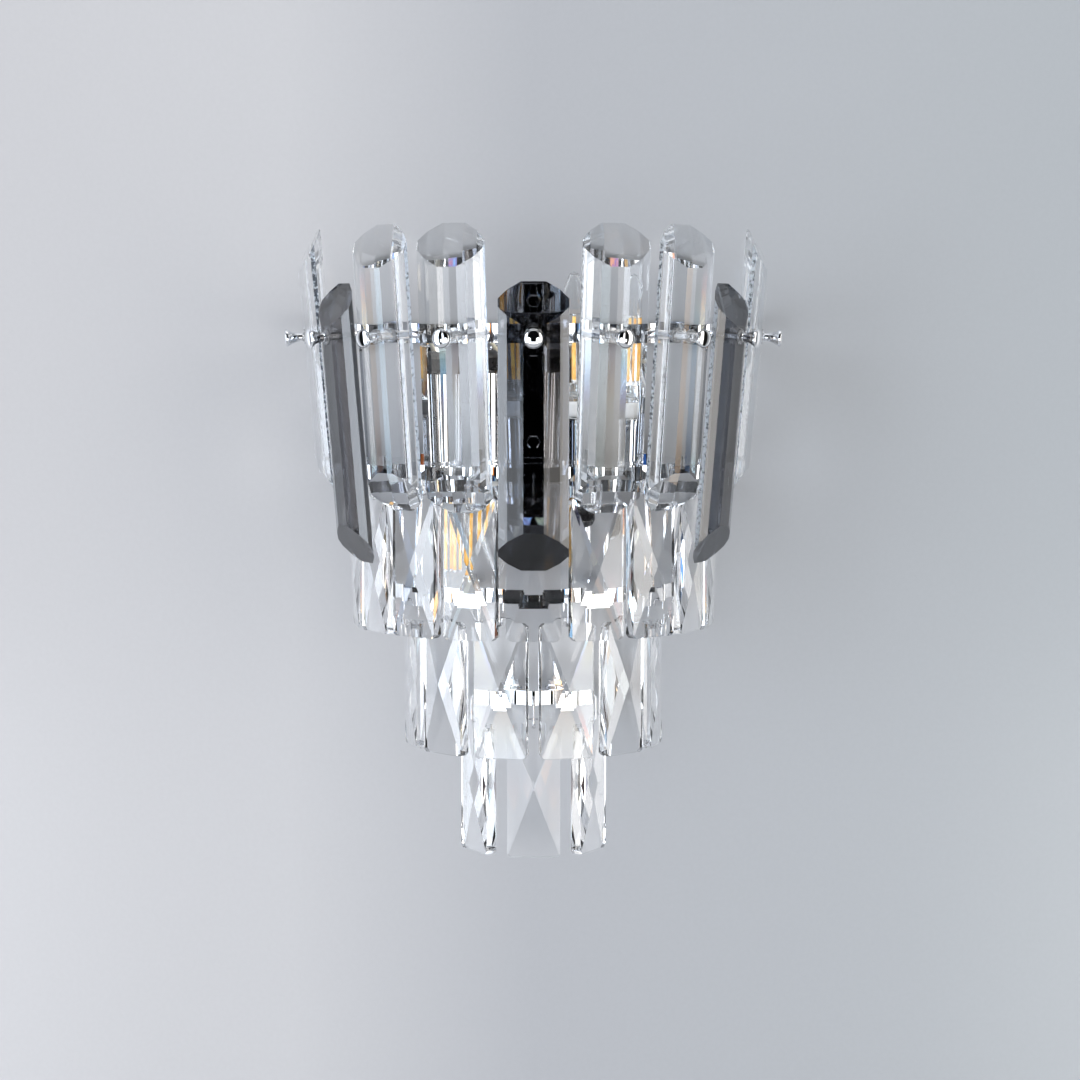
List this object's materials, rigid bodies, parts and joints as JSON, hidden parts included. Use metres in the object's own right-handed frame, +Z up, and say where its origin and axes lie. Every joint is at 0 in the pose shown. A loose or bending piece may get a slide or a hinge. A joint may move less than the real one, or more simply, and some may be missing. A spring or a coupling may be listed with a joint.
{
  "type": "crystal wall sconce",
  "caption": "Half-round wall sconce: chrome bands carry faceted glass bars on standoffs and tiers of hanging cut crystals around candle lamps.",
  "frame": {"origin": "on the wall face of the mounting strap, midway between the two upper bands", "axes": "+Z up, +Y into the wall, +X to the right seen from the room"},
  "size_m": [0.2738, 0.1386, 0.3426],
  "materials": {
    "chrome": "mirror-polished chrome plate",
    "hook_wire": "chromed wire",
    "zinc_steel": "zinc-plated steel",
    "clear_glass": "cut and polished clear glass with ground long edges",
    "smoked_glass": "cut and polished smoked glass with ground long edges",
    "crystal": "cut and polished clear crystal",
    "bulb_glass": "clear thin bulb glass",
    "filament": "amber phosphor coating",
    "nickel_cap": "nickel-plated screw cap",
    "white_plastic": "glossy white plastic",
    "black_plastic": "black moulded plastic",
    "clear_nylon": "translucent nylon",
    "cream_insulation": "cream wire insulation"
  },
  "bodies": {
    "root": {"mounting_strap": "zinc_steel", "back_cover": "chrome", "lower_cover": "chrome", "cover_nuts": "chrome", "frame_screws": "zinc_steel", "top_band": "chrome", "tray_band": "chrome", "middle_band": "chrome", "lower_band": "chrome", "lamp_tray": "chrome", "drop_rods": "chrome", "rod_nuts": "chrome", "standoff_screws": "chrome", "standoff_spacers": "chrome", "glass_washers": "clear_nylon", "standoff_knobs": "chrome", "clear_bar_1": "clear_glass", "smoked_bar_2": "smoked_glass", "clear_bar_3": "clear_glass", "clear_bar_4": "clear_glass", "smoked_bar_5": "smoked_glass", "clear_bar_6": "clear_glass", "clear_bar_7": "clear_glass", "smoked_bar_8": "smoked_glass", "clear_bar_9": "clear_glass", "tray_hooks": "hook_wire", "middle_hooks": "hook_wire", "lower_hooks": "hook_wire", "candle_sleeves": "chrome", "sleeve_nuts": "chrome", "lampholders": "black_plastic", "terminal_block": "white_plastic", "inverted_lamp_lead": "cream_insulation", "upper_lamp_lead": "cream_insulation"},
    "tray_crystal_1": {"tray_crystal_1": "crystal"},
    "tray_crystal_2": {"tray_crystal_2": "crystal"},
    "tray_crystal_3": {"tray_crystal_3": "crystal"},
    "tray_crystal_4": {"tray_crystal_4": "crystal"},
    "tray_crystal_5": {"tray_crystal_5": "crystal"},
    "tray_crystal_6": {"tray_crystal_6": "crystal"},
    "tray_crystal_7": {"tray_crystal_7": "crystal"},
    "tray_crystal_8": {"tray_crystal_8": "crystal"},
    "tray_crystal_9": {"tray_crystal_9": "crystal"},
    "middle_crystal_1": {"middle_crystal_1": "crystal"},
    "middle_crystal_2": {"middle_crystal_2": "crystal"},
    "middle_crystal_3": {"middle_crystal_3": "crystal"},
    "middle_crystal_4": {"middle_crystal_4": "crystal"},
    "middle_crystal_5": {"middle_crystal_5": "crystal"},
    "middle_crystal_6": {"middle_crystal_6": "crystal"},
    "lower_crystal_1": {"lower_crystal_1": "crystal"},
    "lower_crystal_2": {"lower_crystal_2": "crystal"},
    "lower_crystal_3": {"lower_crystal_3": "crystal"},
    "upper_bulb": {"upper_bulb_cap": "nickel_cap", "upper_bulb_collar": "white_plastic", "upper_bulb_glass": "bulb_glass", "upper_bulb_filaments": "filament"},
    "inverted_bulb": {"inverted_bulb_cap": "nickel_cap", "inverted_bulb_collar": "white_plastic", "inverted_bulb_glass": "bulb_glass", "inverted_bulb_filaments": "filament"}
  },
  "joints": [
    {"name": "tray_crystal_1_swing", "type": "hinge", "parent": "root", "child": "tray_crystal_1", "pos_m": [-0.09474, -0.0167, -0.0523], "axis": [-0.1736, 0.9848, 0], "range_deg": [-6, 5]},
    {"name": "tray_crystal_2_swing", "type": "hinge", "parent": "root", "child": "tray_crystal_2", "pos_m": [-0.08331, -0.0481, -0.0523], "axis": [-0.5, 0.866, 0], "range_deg": [-6, 0.5]},
    {"name": "tray_crystal_3_swing", "type": "hinge", "parent": "root", "child": "tray_crystal_3", "pos_m": [-0.06184, -0.07369, -0.0523], "axis": [-0.766, 0.6428, 0], "range_deg": [-6, 5]},
    {"name": "tray_crystal_4_swing", "type": "hinge", "parent": "root", "child": "tray_crystal_4", "pos_m": [-0.0329, -0.0904, -0.0523], "axis": [-0.9397, 0.342, 0], "range_deg": [-6, 5]},
    {"name": "tray_crystal_5_swing", "type": "hinge", "parent": "root", "child": "tray_crystal_5", "pos_m": [0, -0.0962, -0.0523], "axis": [-1, 0, 0], "range_deg": [-6, 0.5]},
    {"name": "tray_crystal_6_swing", "type": "hinge", "parent": "root", "child": "tray_crystal_6", "pos_m": [0.0329, -0.0904, -0.0523], "axis": [-0.9397, -0.342, 0], "range_deg": [-6, 5]},
    {"name": "tray_crystal_7_swing", "type": "hinge", "parent": "root", "child": "tray_crystal_7", "pos_m": [0.06184, -0.07369, -0.0523], "axis": [-0.766, -0.6428, 0], "range_deg": [-6, 5]},
    {"name": "tray_crystal_8_swing", "type": "hinge", "parent": "root", "child": "tray_crystal_8", "pos_m": [0.08331, -0.0481, -0.0523], "axis": [-0.5, -0.866, 0], "range_deg": [-6, 0.5]},
    {"name": "tray_crystal_9_swing", "type": "hinge", "parent": "root", "child": "tray_crystal_9", "pos_m": [0.09474, -0.0167, -0.0523], "axis": [-0.1736, -0.9848, 0], "range_deg": [-6, 5]},
    {"name": "middle_crystal_1_swing", "type": "hinge", "parent": "root", "child": "middle_crystal_1", "pos_m": [-0.06491, -0.01739, -0.119], "axis": [-0.2588, 0.9659, 0], "range_deg": [-6, 10]},
    {"name": "middle_crystal_2_swing", "type": "hinge", "parent": "root", "child": "middle_crystal_2", "pos_m": [-0.04752, -0.04752, -0.119], "axis": [-0.7071, 0.7071, 0], "range_deg": [-6, 10]},
    {"name": "middle_crystal_3_swing", "type": "hinge", "parent": "root", "child": "middle_crystal_3", "pos_m": [-0.01739, -0.06491, -0.119], "axis": [-0.9659, 0.2588, 0], "range_deg": [-6, 10]},
    {"name": "middle_crystal_4_swing", "type": "hinge", "parent": "root", "child": "middle_crystal_4", "pos_m": [0.01739, -0.06491, -0.119], "axis": [-0.9659, -0.2588, 0], "range_deg": [-6, 10]},
    {"name": "middle_crystal_5_swing", "type": "hinge", "parent": "root", "child": "middle_crystal_5", "pos_m": [0.04752, -0.04752, -0.119], "axis": [-0.7071, -0.7071, 0], "range_deg": [-6, 10]},
    {"name": "middle_crystal_6_swing", "type": "hinge", "parent": "root", "child": "middle_crystal_6", "pos_m": [0.06491, -0.01739, -0.119], "axis": [-0.2588, -0.9659, 0], "range_deg": [-6, 10]},
    {"name": "lower_crystal_1_swing", "type": "hinge", "parent": "root", "child": "lower_crystal_1", "pos_m": [-0.03048, -0.0176, -0.178], "axis": [-0.5, 0.866, 0], "range_deg": [-4, 10]},
    {"name": "lower_crystal_2_swing", "type": "hinge", "parent": "root", "child": "lower_crystal_2", "pos_m": [0, -0.0352, -0.178], "axis": [-1, 0, 0], "range_deg": [-4, 10]},
    {"name": "lower_crystal_3_swing", "type": "hinge", "parent": "root", "child": "lower_crystal_3", "pos_m": [0.03048, -0.0176, -0.178], "axis": [-0.5, -0.866, 0], "range_deg": [-4, 10]},
    {"name": "upper_bulb_removal", "type": "slide", "parent": "root", "child": "upper_bulb", "axis": [0, 0, 1], "range_m": [0, 0.024]},
    {"name": "inverted_bulb_removal", "type": "slide", "parent": "root", "child": "inverted_bulb", "axis": [0, 0, -1], "range_m": [0, 0.024]}
  ]
}
